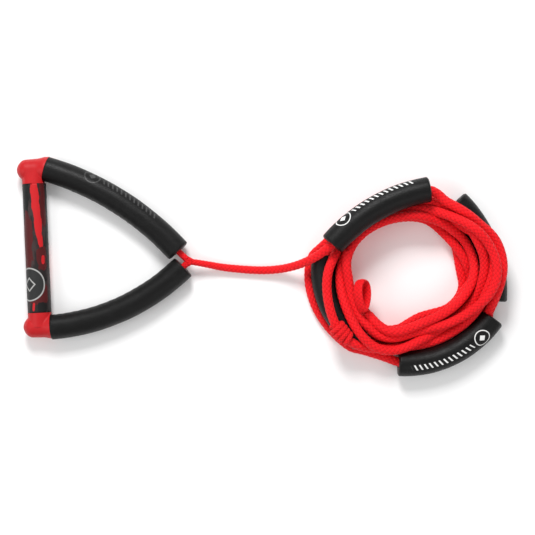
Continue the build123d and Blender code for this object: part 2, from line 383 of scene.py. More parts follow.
def arc_line(arc, spacing):
    """Even points on a level arc: centre + bend radius (cos a, sin a), a from first to last."""
    x, y, bend, first, last, height = arc
    count = round(abs(math.radians(last - first)) * bend / spacing) + 1
    angle = np.radians(np.linspace(first, last, count))
    return np.stack([x + bend * np.cos(angle), y + bend * np.sin(angle), np.full(count, height)], axis=1)


for name, arc in FLOAT_ARCS.items():
    print(name, "bore", round(math.radians(abs(arc[4] - arc[3])) * arc[2], 4), "m long")

# %% [markdown]
# Nobody winds a rope as a perfect ring. Each turn is laid by stations about the coil's middle: an
# angle that keeps growing turn after turn, a radius and a height. Eased curves join the stations.
# This gives the order of the turns, which one crosses over which, and the tight doubled-back bight
# near the right side. What it doesn't give is rope that truly rests on rope, which comes next.

# %% The coil's turns
COIL_CENTRE = np.array((0.3787, -0.0499))
COIL_TURN = math.radians(2.45)
# For each float in line order, the stations after it: turning angle in degrees clockwise, radius and
# height in millimetres.
COIL_TURNS = [
    ("line_float_1", [
        (-68.5, 110.5, 49), (-64, 109.5, 49), (-57, 101, 48), (-45, 101, 47),
        (-34, 105.4, 47), (-17, 118.1, 44),
        (0, 121.9, 40), (11, 116.8, 34), (19, 112.4, 27),
    ]),
    ("line_float_3", [
        (104, 109.2, 13), (120, 111.8, 8), (135, 116.8, 6), (150, 121.3, 6), (165, 123.8, 6),
        (180, 125.1, 6), (188, 123.2, 8), (196, 115.6, 20), (204, 106.7, 26), (214, 99.1, 16),
        (225, 96.5, 6), (250, 96.5, 6), (270, 99.1, 6), (290, 101.6, 8), (299, 105.4, 14),
    ]),
    ("line_float_2", [
        (35, 106.7, 12), (50, 96.5, 6), (75, 90.2, 6), (90, 90.2, 6), (105, 95.2, 8),
        (114, 101.6, 14),
    ]),
    ("line_float_4", [
        (206, 96.5, 14), (225, 88.9, 6), (250, 87.6, 6), (270, 87.6, 6), (300, 83.8, 6),
        (330, 76.2, 6), (360, 72.4, 6), (390, 78.7, 6), (420, 68.6, 6), (450, 69.8, 6),
        (480, 80, 6), (510, 73.7, 6), (540, 76.2, 6), (570, 74.9, 6), (600, 68.6, 6),
        (630, 68.6, 6), (660, 73.7, 7), (690, 71.1, 14), (720, 78.7, 16), (750, 86.4, 12),
        (780, 81.3, 6), (810, 82.5, 6), (840, 91.4, 6), (870, 83.8, 6), (900, 86.4, 6),
        (930, 83.8, 6), (960, 78.7, 6), (990, 78.7, 6), (1020, 80, 20), (1028, 80.5, 34),
        (1043, 80.8, 38), (1056, 85.9, 38), (1069, 91.9, 38), (1078, 92.7, 37), (1090, 90.2, 36),
        (1097.6, 81.3, 33), (1104, 72.4, 26), (1115, 68.6, 14), (1130, 60, 8), (1150, 58, 6),
        (1163, 58, 8), (1173, 66, 14), (1186, 77, 17), (1200, 83.8, 17), (1230, 81.3, 17),
        (1260, 80, 17), (1290, 78.7, 17),
        (1320, 76.2, 17), (1350, 76.2, 17), (1380, 91.4, 24), (1410, 100.3, 38), (1440, 110.5, 44),
        (1455, 108, 40), (1470, 103, 34), (1500, 95, 28), (1525, 95, 28), (1545, 99, 36),
        (1560, 108, 40), (1575, 115, 41), (1590, 114, 41), (1600, 109, 40), (1615, 105, 40),
        (1631, 101, 39), (1645, 91.4, 34), (1665, 87.6, 17), (1690, 86.4, 17), (1710, 86.4, 17),
        (1740, 94, 34), (1770, 97.8, 44), (1800, 101.6, 46), (1830, 94, 42), (1860, 86.4, 34),
        (1885, 88.9, 36), (1900, 100.3, 42), (1912, 106.7, 46), (1925, 104.1, 44),
        (1938, 97.8, 38), (1953, 91.4, 34), (1973, 87.6, 30), (1990, 83.8, 28), (2010, 78.7, 24),
        (2030, 76.2, 24), (2050, 76.2, 24), (2070, 76.2, 26), (2100, 83.8, 40), (2130, 96.5, 52),
        (2160, 111.8, 56), (2175, 110.5, 52), (2190, 99.1, 46), (2220, 83.8, 42), (2250, 78.7, 42),
        (2275, 86.4, 42), (2300, 85.1, 40), (2322, 78.7, 40), (2340, 75.6, 40), (2365, 73.7, 40),
        (2385, 68.6, 36), (2410, 66.7, 34), (2430, 67.3, 34), (2460, 76.2, 40), (2490, 83.8, 44),
        (2520, 88.9, 40), (2550, 78.7, 40), (2580, 69.8, 44), (2610, 72.4, 44), (2635, 76.2, 44),
        (2652, 76.8, 41), (2660, 76.2, 40),
    ]),
]


# The coil's inner and outer edge in millimetres, every 15 degrees clockwise from the right.
INNER_EDGE = [64, 70, 71, 66, 57, 53, 53, 72, 73, 62, 64, 68, 69, 73, 72, 70, 66, 64, 64,
              66, 67, 62, 58, 55]
OUTER_EDGE = [127, 123, 121, 121, 121, 121, 122, 123, 123, 124, 126, 129, 132, 126, 108, 104, 103, 103, 104,
              121, 105, 107, 112, 125]


def eased_stations(stations, spacing_deg=3.0):
    """Cubic eases between stations, as points: centre + radius (cos, sin) of the turning angle."""
    table = np.array(stations, float)
    turn, values = table[:, 0], table[:, 1:] * 0.001
    slope = np.gradient(values, turn, axis=0)
    at = np.arange(turn[0], turn[-1] + 1e-6, spacing_deg)
    left = np.clip(np.searchsorted(turn, at, side="right") - 1, 0, len(turn) - 2)
    gap = (turn[left + 1] - turn[left])[:, None]
    t = (at - turn[left])[:, None] / gap
    eased = ((2 * t**3 - 3 * t**2 + 1) * values[left] + (t**3 - 2 * t**2 + t) * gap * slope[left]
             + (3 * t**2 - 2 * t**3) * values[left + 1] + (t**3 - t**2) * gap * slope[left + 1])
    angle = COIL_TURN - np.radians(at)
    radius, height = eased[:, 0], eased[:, 1]
    level = COIL_CENTRE + radius[:, None] * np.stack([np.cos(angle), np.sin(angle)], axis=1)
    return np.c_[level, height]


def laid_line():
    """The whole line before it settles: points, whether each is held, and the float it is in."""
    stretches = [(evenly(np.array(LEAD_ROUTE), STEP), True, "")]
    for name, stations in COIL_TURNS:
        bore = arc_line(FLOAT_ARCS[name], STEP)
        stretches[-1] = (joined(stretches[-1][0], bore[:1])[:-1], *stretches[-1][1:])
        stretches.append((bore, True, name))
        turns = joined(bore[-1:], eased_stations(stations))[1:]
        stretches.append((turns, False, ""))
    points = np.vstack([s[0] for s in stretches])
    held = np.concatenate([np.full(len(s[0]), s[1]) for s in stretches])
    inside = np.concatenate([np.full(len(s[0]), s[2], dtype="U16") for s in stretches])
    return points, held, inside


def joined(first, second):
    """Two stretches as one evenly spaced run of points."""
    return evenly(np.vstack([first, second]), STEP)


line_points, line_held, line_inside = laid_line()
print("line laid:", len(line_points), "points,", round(float(lengths_along(line_points)[-1]), 3), "m")

# %% [markdown]
# Settling is a small rope simulation. The line is a chain of points. In every round each free point
# sinks a little, is drawn gently towards the lane that it was laid in, and is smoothed against its
# neighbours so that the rope resists sharp bends. Then the rules are enforced: links keep their
# length, two stretches of rope can't be nearer than one diameter, rope stays outside the floats and
# above the floor, and the coil keeps its uneven inner and outer edge, which are given as radii by
# angle. Nothing in it is random, so it settles the same way every time.

# %% Settle the coil
ROUNDS = 400
SINK = 0.00022
LANE_PULL = 0.08
STIFFNESS_NEAR, STIFFNESS_FAR = 0.25, 0.06
EDGE_PULL = 0.5


def keep_links(points, freedom, rest):
    """Moves neighbours so that each link nears its rest length."""
    link = np.diff(points, axis=0)
    length = np.linalg.norm(link, axis=1, keepdims=True)
    share = (length - rest[:, None]) / length / np.maximum(freedom[1:] + freedom[:-1], 1.0)
    move = np.zeros_like(points)
    move[:-1] += share * link * freedom[:-1]
    move[1:] -= share * link * freedom[1:]
    return points + 0.5 * move


def part_ropes(points, freedom, first, second):
    """Pushes apart pairs of points nearer than a rope's diameter."""
    gap = points[first] - points[second]
    distance = np.linalg.norm(gap, axis=1, keepdims=True)
    close = distance[:, 0] < 2 * ROPE_R
    first, second, gap, distance = first[close], second[close], gap[close], distance[close]
    share = (2 * ROPE_R - distance) / distance / np.maximum(freedom[first] + freedom[second], 1.0)
    move, count = np.zeros_like(points), np.zeros(len(points))
    np.add.at(move, first, share * gap * freedom[first])
    np.add.at(move, second, -share * gap * freedom[second])
    np.add.at(count, first, 1)
    np.add.at(count, second, 1)
    return points + 1.3 * move / np.maximum(count, 1)[:, None]


def clear_of_float(points, may_move, axis):
    """Pushes points out of the round body of a float, but not past its ends."""
    away = points[:, None] - axis[None]
    distance = np.linalg.norm(away, axis=2)
    nearest = distance.argmin(axis=1)
    depth = FLOAT_R + ROPE_R - distance.min(axis=1)
    hit = np.flatnonzero((depth > 0) & may_move & (nearest > 0) & (nearest < len(axis) - 1))
    push = away[hit, nearest[hit]] / distance[hit, nearest[hit]][:, None]
    points[hit] += 0.8 * depth[hit, None] * push
    return points


def within_edges(points, free):
    """Draws free points of the coil back between its inner and outer edge, a rope's radius inside."""
    level = points[:, :2] - COIL_CENTRE
    radius = np.linalg.norm(level, axis=1)
    turn = np.degrees(COIL_TURN - np.arctan2(level[:, 1], level[:, 0])) % 360
    every = np.arange(len(INNER_EDGE) + 1) * 15
    low, high = (np.interp(turn, every, np.array(edge + edge[:1]) * 0.001)
                 for edge in (INNER_EDGE, OUTER_EDGE))
    kept = np.clip(radius, low + ROPE_R, np.maximum(high - ROPE_R, low + ROPE_R))
    points[free, :2] += EDGE_PULL * (level * (kept / radius - 1)[:, None])[free]
    return points


def settle(points, held, inside):
    """The chain of points after all rounds."""
    points, lane, count = points.copy(), points[:, :2].copy(), len(points)
    free, freedom = ~held, (~held).astype(float)[:, None]
    rest = np.minimum(np.linalg.norm(np.diff(points, axis=0), axis=1), 1.1 * STEP)
    axes, outside = {}, {}
    for name, arc in FLOAT_ARCS.items():
        own = np.flatnonzero(inside == name)
        axes[name] = arc_line(arc, 0.004)
        outside[name] = free & ((np.arange(count) < own[0] - 3) | (np.arange(count) > own[-1] + 3))
    first, second = np.triu_indices(count, k=4)
    loose = free[first] | free[second]
    first, second = first[loose], second[loose]
    for turn in range(ROUNDS):
        points[free, 2] -= SINK if turn < 0.75 * ROUNDS else 0.4 * SINK
        points[free, :2] += LANE_PULL * (lane[free] - points[free, :2])
        near, far = np.zeros_like(points), np.zeros_like(points)
        near[1:-1] = (points[2:] + points[:-2]) / 2 - points[1:-1]
        far[2:-2] = (points[4:] + points[:-4]) / 2 - points[2:-2]
        points += freedom * (STIFFNESS_NEAR * near + STIFFNESS_FAR * far)
        if turn % 8 == 0:
            close = np.linalg.norm(points[first] - points[second], axis=1) < 2 * ROPE_R + STEP
            pairs = first[close], second[close]
        for _ in range(3):
            points = keep_links(points, freedom, rest)
            points = part_ropes(points, freedom, *pairs)
            for name, axis in axes.items():
                points = clear_of_float(points, outside[name], axis)
            points = within_edges(points, free)
            points[free, 2] = np.maximum(points[free, 2], ROPE_R)
    return points


settled = settle(line_points, line_held, line_inside)
print("line settled:", round(float(lengths_along(settled)[-1]), 3), "m, top",
      round(float(settled[:, 2].max()), 4))

# %% [markdown]
# Every second settled point becomes a route point of the line's own NURBS spline, about 40 to a turn.
# Near the bridle the rope is thinner, because it is pulled out straight there, and in the coil it is
# slack and full.

# %% The main line
LEAD_END = len(evenly(np.array(LEAD_ROUTE), STEP))
line_route = np.vstack([np.array(LEAD_ROUTE), settled[LEAD_END + 1::2], settled[-1:]])
line_path = smooth_line("line_route", line_route)
LINE_LENGTH = float(lengths_along(line_path)[-1])
LINE_SWELL = ((0.0, 0.010, 0.03, 0.05, 1.0), (0.0038, 0.0048, 0.0054, 0.0058, 0.0058))
main_line = rope_tube("main_line", line_path, LINE_SWELL)
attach(main_line, "line")
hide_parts("mainline_lead", "rope_coil")
print("main line", round(LINE_LENGTH, 3), "m")

# %% [markdown]
# The line ends in a small tow eye. A hollow braid flattens where it is turned back and spliced into
# itself, so the eye's limbs are flat and soft, and the loop stands a little on edge. Its middle line
# is a teardrop, closed at the splice: across = width sin(t) sin(t / 2)^0.6, along = -length cos(t).

# %% The tow eye
EYE_LOW, EYE_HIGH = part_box("tow_eye")
EYE_TILT = math.radians(44)
EYE_HALF = (0.0098, 0.0185)          # half the loop's width and length, to the middle of its limbs
EYE_LIMB = (0.0021, 0.0072)          # half the limb's thickness and width


def tow_eye():
    """Loop of flattened braid: teardrop(t) + thickness cos(a) outward + width sin(a) along the axis."""
    centre = (np.array(EYE_LOW) + np.array(EYE_HIGH)) / 2
    t = np.linspace(0.0, 2 * math.pi, 150, endpoint=False)
    across = np.array((math.cos(EYE_TILT), 0.0, -math.sin(EYE_TILT)))
    axis = np.array((math.sin(EYE_TILT), 0.0, math.cos(EYE_TILT)))
    belly = np.sign(np.sin(t)) * np.abs(np.sin(t)) * np.abs(np.sin(t / 2)) ** 0.6
    path = centre + EYE_HALF[0] * belly[:, None] * across
    path[:, 1] -= EYE_HALF[1] * np.cos(t)
    tangent = np.roll(path, -1, axis=0) - np.roll(path, 1, axis=0)
    tangent /= np.linalg.norm(tangent, axis=1, keepdims=True)
    outward = np.cross(tangent, axis)
    turns = np.arange(ROPE_COLUMNS) / ROPE_COLUMNS
    girths = lengths_along(np.vstack([path, path[:1]])) / (2 * math.pi * 0.0045)
    girths *= round(girths[-1] * STRANDS_EACH_WAY * BRAID_LEAN) / (girths[-1] * STRANDS_EACH_WAY * BRAID_LEAN)
    raised = BRAID_RISE * (braid_relief(turns[None, :], girths[:-1, None]) - 0.5)[:, :, None]
    angle = 2 * math.pi * turns[None, :, None]
    swell = 1.0 + 0.35 * np.cos(t / 2)[:, None, None] ** 8
    points = (path[:, None] + (swell * EYE_LIMB[0] + raised) * np.cos(angle) * outward[:, None]
              + (EYE_LIMB[1] + raised) * np.sin(angle) * axis)
    edge_turns = np.linspace(0.0, 1.0, ROPE_COLUMNS + 1)
    uv = np.stack(np.broadcast_arrays(edge_turns[None, :], girths[:, None]), axis=-1)
    return grid_piece("tow_eye_loop", points, uv, ROPE_RED, "rope", rows_close=True)


eye_loop = tow_eye()
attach(eye_loop, "line")
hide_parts("tow_eye")

# %% [markdown]
# One turn of the line carries a stopper: a short length of the same rope wound tightly round it. It
# is a helix about the line itself, so it needs the line's own sideways and upward directions. The
# helix closes down at both ends, where the real one is tucked under its own turns.

# %% The wrapped stopper
STOPPER_AT = (0.2905, -0.1240, 0.046)
STOPPER_LENGTH = 0.025
STOPPER_TURNS = 4.0
STOPPER_R = 0.0032


def stopper():
    """Helix: line(s) + reach(s) (cos w side + sin w up), w growing evenly along the stopper."""
    path = evenly(line_path, 0.0005)
    run = lengths_along(path)
    middle = run[np.linalg.norm(path - STOPPER_AT, axis=1).argmin()]
    along = np.linspace(-0.5, 0.5, 700)
    _, side, up = frames_along(path)
    here = middle + along * STOPPER_LENGTH
    centre, side, up = (np.stack([np.interp(here, run, v[:, k]) for k in range(3)], axis=1)
                        for v in (path, side, up))
    tuck = np.clip((0.5 - np.abs(along)) / 0.10, 0.0, 1.0)
    reach = 0.0030 + 0.0048 * np.sqrt(tuck * (2 - tuck)) + 0.0008 * np.cos(along * math.pi) ** 2
    turn = 2 * math.pi * STOPPER_TURNS * along
    helix = centre + reach[:, None] * (np.cos(turn)[:, None] * side + np.sin(turn)[:, None] * up)
    return rope_tube_about("wrapped_stopper", helix, STOPPER_R, centre)


def rope_tube_about(name, path, radius, centre):
    """A braided tube on a tight helix: its outward direction is taken from the helix's own axis."""
    tangent = np.gradient(path, axis=0)
    tangent /= np.linalg.norm(tangent, axis=1, keepdims=True)
    outward = path - centre
    outward -= (outward * tangent).sum(1, keepdims=True) * tangent
    outward /= np.linalg.norm(outward, axis=1, keepdims=True)
    across = np.cross(tangent, outward)
    turns = np.arange(ROPE_COLUMNS) / ROPE_COLUMNS
    girths = lengths_along(path) / (2 * math.pi * radius)
    raised = radius + 0.7 * BRAID_RISE * (braid_relief(turns[None, :], girths[:, None]) - 0.5)
    angle = 2 * math.pi * turns[None, :, None]
    ring = np.cos(angle) * outward[:, None] + np.sin(angle) * across[:, None]
    edge_turns = np.linspace(0.0, 1.0, ROPE_COLUMNS + 1)
    uv = np.stack(np.broadcast_arrays(edge_turns[None, :], np.append(girths, girths[-1])[:, None]), axis=-1)
    return grid_piece(name, path[:, None] + raised[:, :, None] * ring, uv, ROPE_RED, "rope")


stopper_wrap = stopper()
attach(stopper_wrap, "line")

# %% [markdown]
# The floats are closed-cell foam: matt black, with a fine skin of pores, slightly paler where it is
# rubbed, and soft rather than shiny. Pores and rubbing are one node group, because the grip has the
# same foam under its print. A second group draws the plain print marks: a ring with a small
# diamond in it, and a row of slanted dashes. Its coordinates are metres along and round the foam.

# %% Foam skin and print marks, as node groups
def foam_skin_group():
    """Height of pores and low unevenness, and a rubbed mask, from object coordinates."""
    w, given, result = new_group("foam skin", {"Point": VECTOR}, {"Height": FLOAT, "Rubbed": FLOAT})
    pores = w.node("ShaderNodeTexVoronoi", {"Vector": given[0], "Scale": 1500.0}).outputs["Distance"]
    grain = w.noise(given[0], 900.0, 3.0)
    uneven = w.noise(given[0], 55.0, 2.0)
    height = w.math("MULTIPLY_ADD", w.ramp(pores, 0.05, 0.5), 0.35, w.math("MULTIPLY", grain, 0.45))
    w.tree.links.new(w.math("MULTIPLY_ADD", uneven, 0.5, height), result["Height"])
    rubbed = w.math("MULTIPLY", w.ramp(uneven, 0.48, 0.72), w.ramp(grain, 0.35, 0.65))
    w.tree.links.new(rubbed, result["Rubbed"])


BADGE_R = 0.0105
DASH_PITCH, DASH_WIDE, DASH_TALL, DASH_LEAN = 0.0062, 0.0021, 0.0072, 0.45
DASH_ROW = (0.0150, 0.0950)


def print_marks_group():
    """Mask of a badge at the origin and a dash row beyond it."""
    w, given, result = new_group("print marks", {"Along and Round": VECTOR}, {"Mask": FLOAT})
    along, around = w.split(given[0])
    edge = 0.00022

    def thin(distance, half_width):
        return w.ramp(w.math("ABSOLUTE", distance), half_width + edge, half_width - edge)

    squares = w.math("MULTIPLY_ADD", along, along, w.math("MULTIPLY", around, around))
    rim = thin(w.math("SUBTRACT", w.math("SQRT", squares), BADGE_R * 0.92), 0.0006)
    diamond = thin(w.math("ADD", w.math("ABSOLUTE", along), w.math("ABSOLUTE", around)), BADGE_R * 0.42)
    leaning = w.math("MULTIPLY_ADD", around, DASH_LEAN, along)
    place = w.math("SUBTRACT", w.math("FRACT", w.math("DIVIDE", leaning, DASH_PITCH)), 0.5)
    half_bar = DASH_WIDE / DASH_PITCH / 2
    bars = w.ramp(w.math("ABSOLUTE", place), half_bar + 0.03, half_bar - 0.03)
    row_middle, row_half = (DASH_ROW[0] + DASH_ROW[1]) / 2, (DASH_ROW[1] - DASH_ROW[0]) / 2
    in_row = w.math("MULTIPLY", thin(around, DASH_TALL / 2),
                    thin(w.math("SUBTRACT", leaning, row_middle), row_half))
    marks = w.math("MAXIMUM", w.math("MULTIPLY", bars, in_row), w.math("MAXIMUM", rim, diamond))
    w.tree.links.new(marks, result["Mask"])


foam_skin_group()
print_marks_group()
print("foam and print groups ready")

# %% Foam finishes
def foam_finish(name, ink=None, ink_roughness=0.5):
    """Black foam, plain or with print marks in an ink."""
    material, w, shader = new_material(name, Specular_IOR_Level=0.20)
    skin = w.group("foam skin", {0: w.object_point()})
    colour = w.mix(skin["Rubbed"], (0.0022, 0.0022, 0.0022, 1.0), (0.0050, 0.0051, 0.0052, 1.0))
    roughness = w.math("MULTIPLY_ADD", skin["Rubbed"], 0.12, 0.40)
    if ink:
        marks = w.group("print marks", {0: w.node("ShaderNodeUVMap", uv_map="foam").outputs[0]})["Mask"]
        worn = w.math("MULTIPLY", marks, w.ramp(w.noise(w.object_point(), 700.0), 0.22, 0.36))
        colour = w.mix(worn, colour, ink)
        roughness = w.node("ShaderNodeMix", {0: worn, 2: roughness, 3: ink_roughness}).outputs[0]
    finish_with(w, shader, colour, roughness, skin["Height"], 0.00035)
    return material


FOAM_PLAIN = foam_finish("foam_black")
FOAM_WHITE_PRINT = foam_finish("foam_white_print", ink=(0.80, 0.80, 0.79, 1.0))
FOAM_TONE_PRINT = foam_finish("foam_tone_print", ink=(0.055, 0.055, 0.055, 1.0), ink_roughness=0.24)
print("foam finishes ready")

# %% [markdown]
# Each float is a bored tube of foam on a bent line. Its profile runs out along the bore, over one
# end, along the outside and back over the other end, and each profile point is carried round the
# line. Bent foam is never perfectly round: it presses flat a little and ripples inside the bend, so
# the outside gets low waves there. Cut ends bulge slightly between the bore and the eased edge.

# %% Foam tubes
FOAM_COLUMNS = 96
FOAM_EASE = 0.0022


def rounded_end(at, bore, outer, way):
    """Profile points (along, radius, outside share) over a cut end, from the bore to the outside."""
    face = np.linspace(bore, outer - FOAM_EASE, 9)
    bulge = 0.0005 * np.sin(math.pi * (face - bore) / (outer - bore))
    turn = np.linspace(0.0, math.pi / 2, 8)[1:]
    ease = np.stack([at - way * FOAM_EASE * (1 - np.cos(turn)),
                     outer - FOAM_EASE + FOAM_EASE * np.sin(turn), np.sin(turn) ** 2], axis=1)
    return np.vstack([np.stack([at + way * bulge, face, np.zeros(9)], axis=1), ease])


def ball_end(bore, outer, ball):
    """Profile points over a ball end about the line's start, from the bore to the outside."""
    radius = np.concatenate([np.linspace(bore, outer * 0.985, 24), [outer * 0.997]])
    along = -np.sqrt(ball**2 - radius**2)
    along[-1] += 0.0008
    return np.stack([along, radius, np.linspace(0.0, 0.3, 25)], axis=1)


def foam_tube(name, arc, bore, outer, material, print_at=0.0, print_turn=0.0, ball=None):
    """Bored tube on a level arc: line(s) + radius (cos a side + sin a up), a from the underside round."""
    x, y, bend, first, last, height = arc
    sense = math.copysign(1.0, first - last)
    length = math.radians(abs(last - first)) * bend
    first_end = ball_end(bore, outer, ball) if ball else rounded_end(0.0, bore, outer, -1)
    last_end = rounded_end(length, bore, outer, 1)[::-1]
    middle_run = np.linspace(first_end[-1, 0], last_end[0, 0], 122)[1:-1]
    middle = np.stack([middle_run, np.full(120, outer), np.ones(120)], axis=1)
    back_run = np.linspace(last_end[-1, 0], first_end[0, 0], 12)[1:-1]
    back = np.stack([back_run, np.full(10, bore), np.zeros(10)], axis=1)
    profile = np.vstack([first_end, middle, last_end, back])
    along, radius, outside = (profile[:, k, None] for k in range(3))
    around = np.linspace(-math.pi / 2, 1.5 * math.pi, FOAM_COLUMNS + 1)[None, :]
    inner_side = np.clip(-sense * np.cos(around), 0.0, 1.0) ** 2
    ripple = np.sin(along * 2 * math.pi / 0.0118 + 1.7 * np.sin(along * 61.0)) * inner_side
    lumps = np.sin(along * 83.0 + 2.0 * around) + np.sin(along * 139.0 - 3.0 * around)
    reach = radius + outside * (0.00012 * ripple - 0.00010 * inner_side + 0.00006 * lumps)
    angle = math.radians(first) - sense * along / bend
    middle_line = np.concatenate([x + bend * np.cos(angle), y + bend * np.sin(angle),
                                  np.full_like(angle, height)], axis=1)
    side = sense * np.concatenate([np.cos(angle), np.sin(angle), np.zeros_like(angle)], axis=1)
    points = middle_line[:, None] + reach[:, :, None] * np.cos(around)[:, :, None] * side[:, None]
    points[:, :, 2] += reach * np.sin(around)
    from_top = outer * (math.pi / 2 - around) - outer * math.radians(print_turn)
    full = np.vstack([along, along[:1]])
    uv = np.stack(np.broadcast_arrays(full - print_at, from_top), axis=-1)
    piece = grid_piece(name, points[:, :-1], uv, material, "foam", rows_close=True)
    return piece


# %% The line's four floats
FLOAT_BORE = 0.0055
# Where the badge's middle is along the float, and how far the print is turned from the top, outwards.
FLOAT_PRINTS = {"line_float_1": (0.0307, 57.0), "line_float_3": (0.0277, 18.0)}

for name, arc in FLOAT_ARCS.items():
    finish = FOAM_WHITE_PRINT if name in FLOAT_PRINTS else FOAM_PLAIN
    made = foam_tube(name.replace("line_float", "foam_line_float"), arc, FLOAT_BORE, FLOAT_R, finish,
                     *FLOAT_PRINTS.get(name, (0.0, 0.0)))
    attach(made, "line")
    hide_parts(name)

# %% [markdown]
# The bridle's two long floats turn in ball seats at the handle's end caps, so one end of each is part
# of a ball about the pivot. Each bends in one arc, bowed outwards, down to its cut end near the
# splice. The arc's middle follows from its two ends and its bend radius.

# %% The bridle's floats
PIVOT_X, BAR_X, BAR_HEIGHT = -0.0545, -0.0885, 0.0159
BRIDLE_FLOAT_R, BRIDLE_BORE, BALL_R = 0.0159, 0.0040, 0.0250
APEX = (0.1038, -0.0250, BAR_HEIGHT)
BRIDLE_PRINT = (0.040, 50.0)        # the upper float's print, as in FLOAT_PRINTS
# Pivot's y, the cut end, the bend radius.
BRIDLE_LEGS = {
    "upper": (0.0935, (0.0907, -0.0115), 0.364),
    "lower": (-0.0993, (0.0962, -0.0314), 0.270),
}


def leg_arc(pivot_y, end, bend):
    """The bowed arc from a pivot to a float's cut end, as in FLOAT_ARCS."""
    start, stop = np.array((PIVOT_X, pivot_y)), np.array(end)
    chord = stop - start
    outward = np.array((chord[1], -chord[0])) * math.copysign(1.0, -pivot_y) / np.linalg.norm(chord)
    centre = (start + stop) / 2 - outward * math.sqrt(bend**2 - (chord @ chord) / 4)
    first, last = (math.degrees(math.atan2(*(p - centre)[::-1])) for p in (start, stop))
    return (*centre, bend, first, last, BAR_HEIGHT)


leg_arcs = {leg: leg_arc(*facts) for leg, facts in BRIDLE_LEGS.items()}
for leg, arc in leg_arcs.items():
    finish = FOAM_TONE_PRINT if leg == "upper" else FOAM_PLAIN
    made = foam_tube(f"foam_{leg}_bridle_float", arc, BRIDLE_BORE, BRIDLE_FLOAT_R, finish,
                     *BRIDLE_PRINT, ball=BALL_R)
    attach(made, "bridle")
    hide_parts(f"{leg}_bridle_float")

# %% [markdown]
# Each leg's rope runs inside its float and comes out for a short way to the splice, where both meet
# the line. The route of a leg has points round its arc and one at the splice. The splice itself is a
# small tight turn of rope: a ring-shaped tuck, worked out as a closed knot curve round a ball.

# %% Bridle ropes and splice
LEG_ROPE_R = 0.0040


def bridle_rope(leg):
    """A leg's rope through its float and on to the splice."""
    arc = leg_arcs[leg]
    inside = arc_line(arc, 0.012)
    out_of_end = inside[-1] + 0.6 * (np.array(APEX) - inside[-1])
    route = np.vstack([inside, out_of_end, APEX])
    path = smooth_line(f"{leg}_leg_route", route)
    keep = np.linalg.norm(path - APEX, axis=1) > 0.0035
    piece = rope_tube(f"{leg}_leg_rope", path[keep], LEG_ROPE_R)
    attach(piece, "bridle")
    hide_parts(f"{leg}_bridle_leg")
    return piece


for leg in BRIDLE_LEGS:
    bridle_rope(leg)


def splice_knot():
    """Knot curve: centre + (R + r cos 3t) (cos 2t, sin 2t), height r sin 3t, as a rope tube."""
    t = np.linspace(0.0, 2 * math.pi, 400)
    reach = 0.0024 + 0.0012 * np.cos(3 * t)
    path = np.stack([reach * np.cos(2 * t), reach * np.sin(2 * t), 0.0014 * np.sin(3 * t)], axis=1)
    return rope_tube_about("splice_knot", path + APEX, 0.0026, np.array(APEX))


knot = splice_knot()
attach(knot, "apex")
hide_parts("apex_splice")

# %% [markdown]
# The grip is the same foam as a plain sleeve, printed all round in black, dark red and bright red.
# The print is a list of ragged patches: each is an oval with a noisy edge, at a place along the bar
# and round from the top, and later ones cover earlier ones. A big badge in grey ends the row.

# %% Grip print
# Place round from the top and along the bar, half width and half length, all in metres, lean, colour.
DARK_RED, BRIGHT_RED = (0.072, 0.006, 0.007, 1.0), (0.50, 0.010, 0.014, 1.0)
SOOT = (0.006, 0.006, 0.006, 1.0)
GRIP_PATCHES = [
    (0.030, 0.020, 0.016, 0.090, 0.0, SOOT),
    (-0.012, 0.060, 0.007, 0.030, 0.1, SOOT),
    (-0.0115, 0.009, 0.0085, 0.036, 0.05, DARK_RED),
    (0.013, 0.055, 0.0045, 0.030, 0.0, DARK_RED),
    (0.0032, 0.062, 0.0050, 0.024, -0.06, BRIGHT_RED),
    (0.0052, 0.037, 0.0048, 0.026, -0.08, BRIGHT_RED),
    (0.0074, 0.015, 0.0034, 0.017, -0.06, BRIGHT_RED),
    (0.0090, -0.0130, 0.0062, 0.0150, 0.0, DARK_RED),
    (0.0020, -0.058, 0.0130, 0.0130, 0.0, DARK_RED),
    (0.0070, -0.0760, 0.0060, 0.0075, 0.0, SOOT),
    (0.0100, -0.0150, 0.0023, 0.0052, 0.1, BRIGHT_RED),
    (-0.0044, -0.0740, 0.0016, 0.0052, 0.1, BRIGHT_RED),
    (-0.036, -0.010, 0.010, 0.060, 0.1, DARK_RED),
    (0.038, -0.030, 0.007, 0.034, -0.1, BRIGHT_RED),
]
GRIP_BADGE = (-0.0100, -0.0456, 0.0240)       # round from the top, along the bar, radius


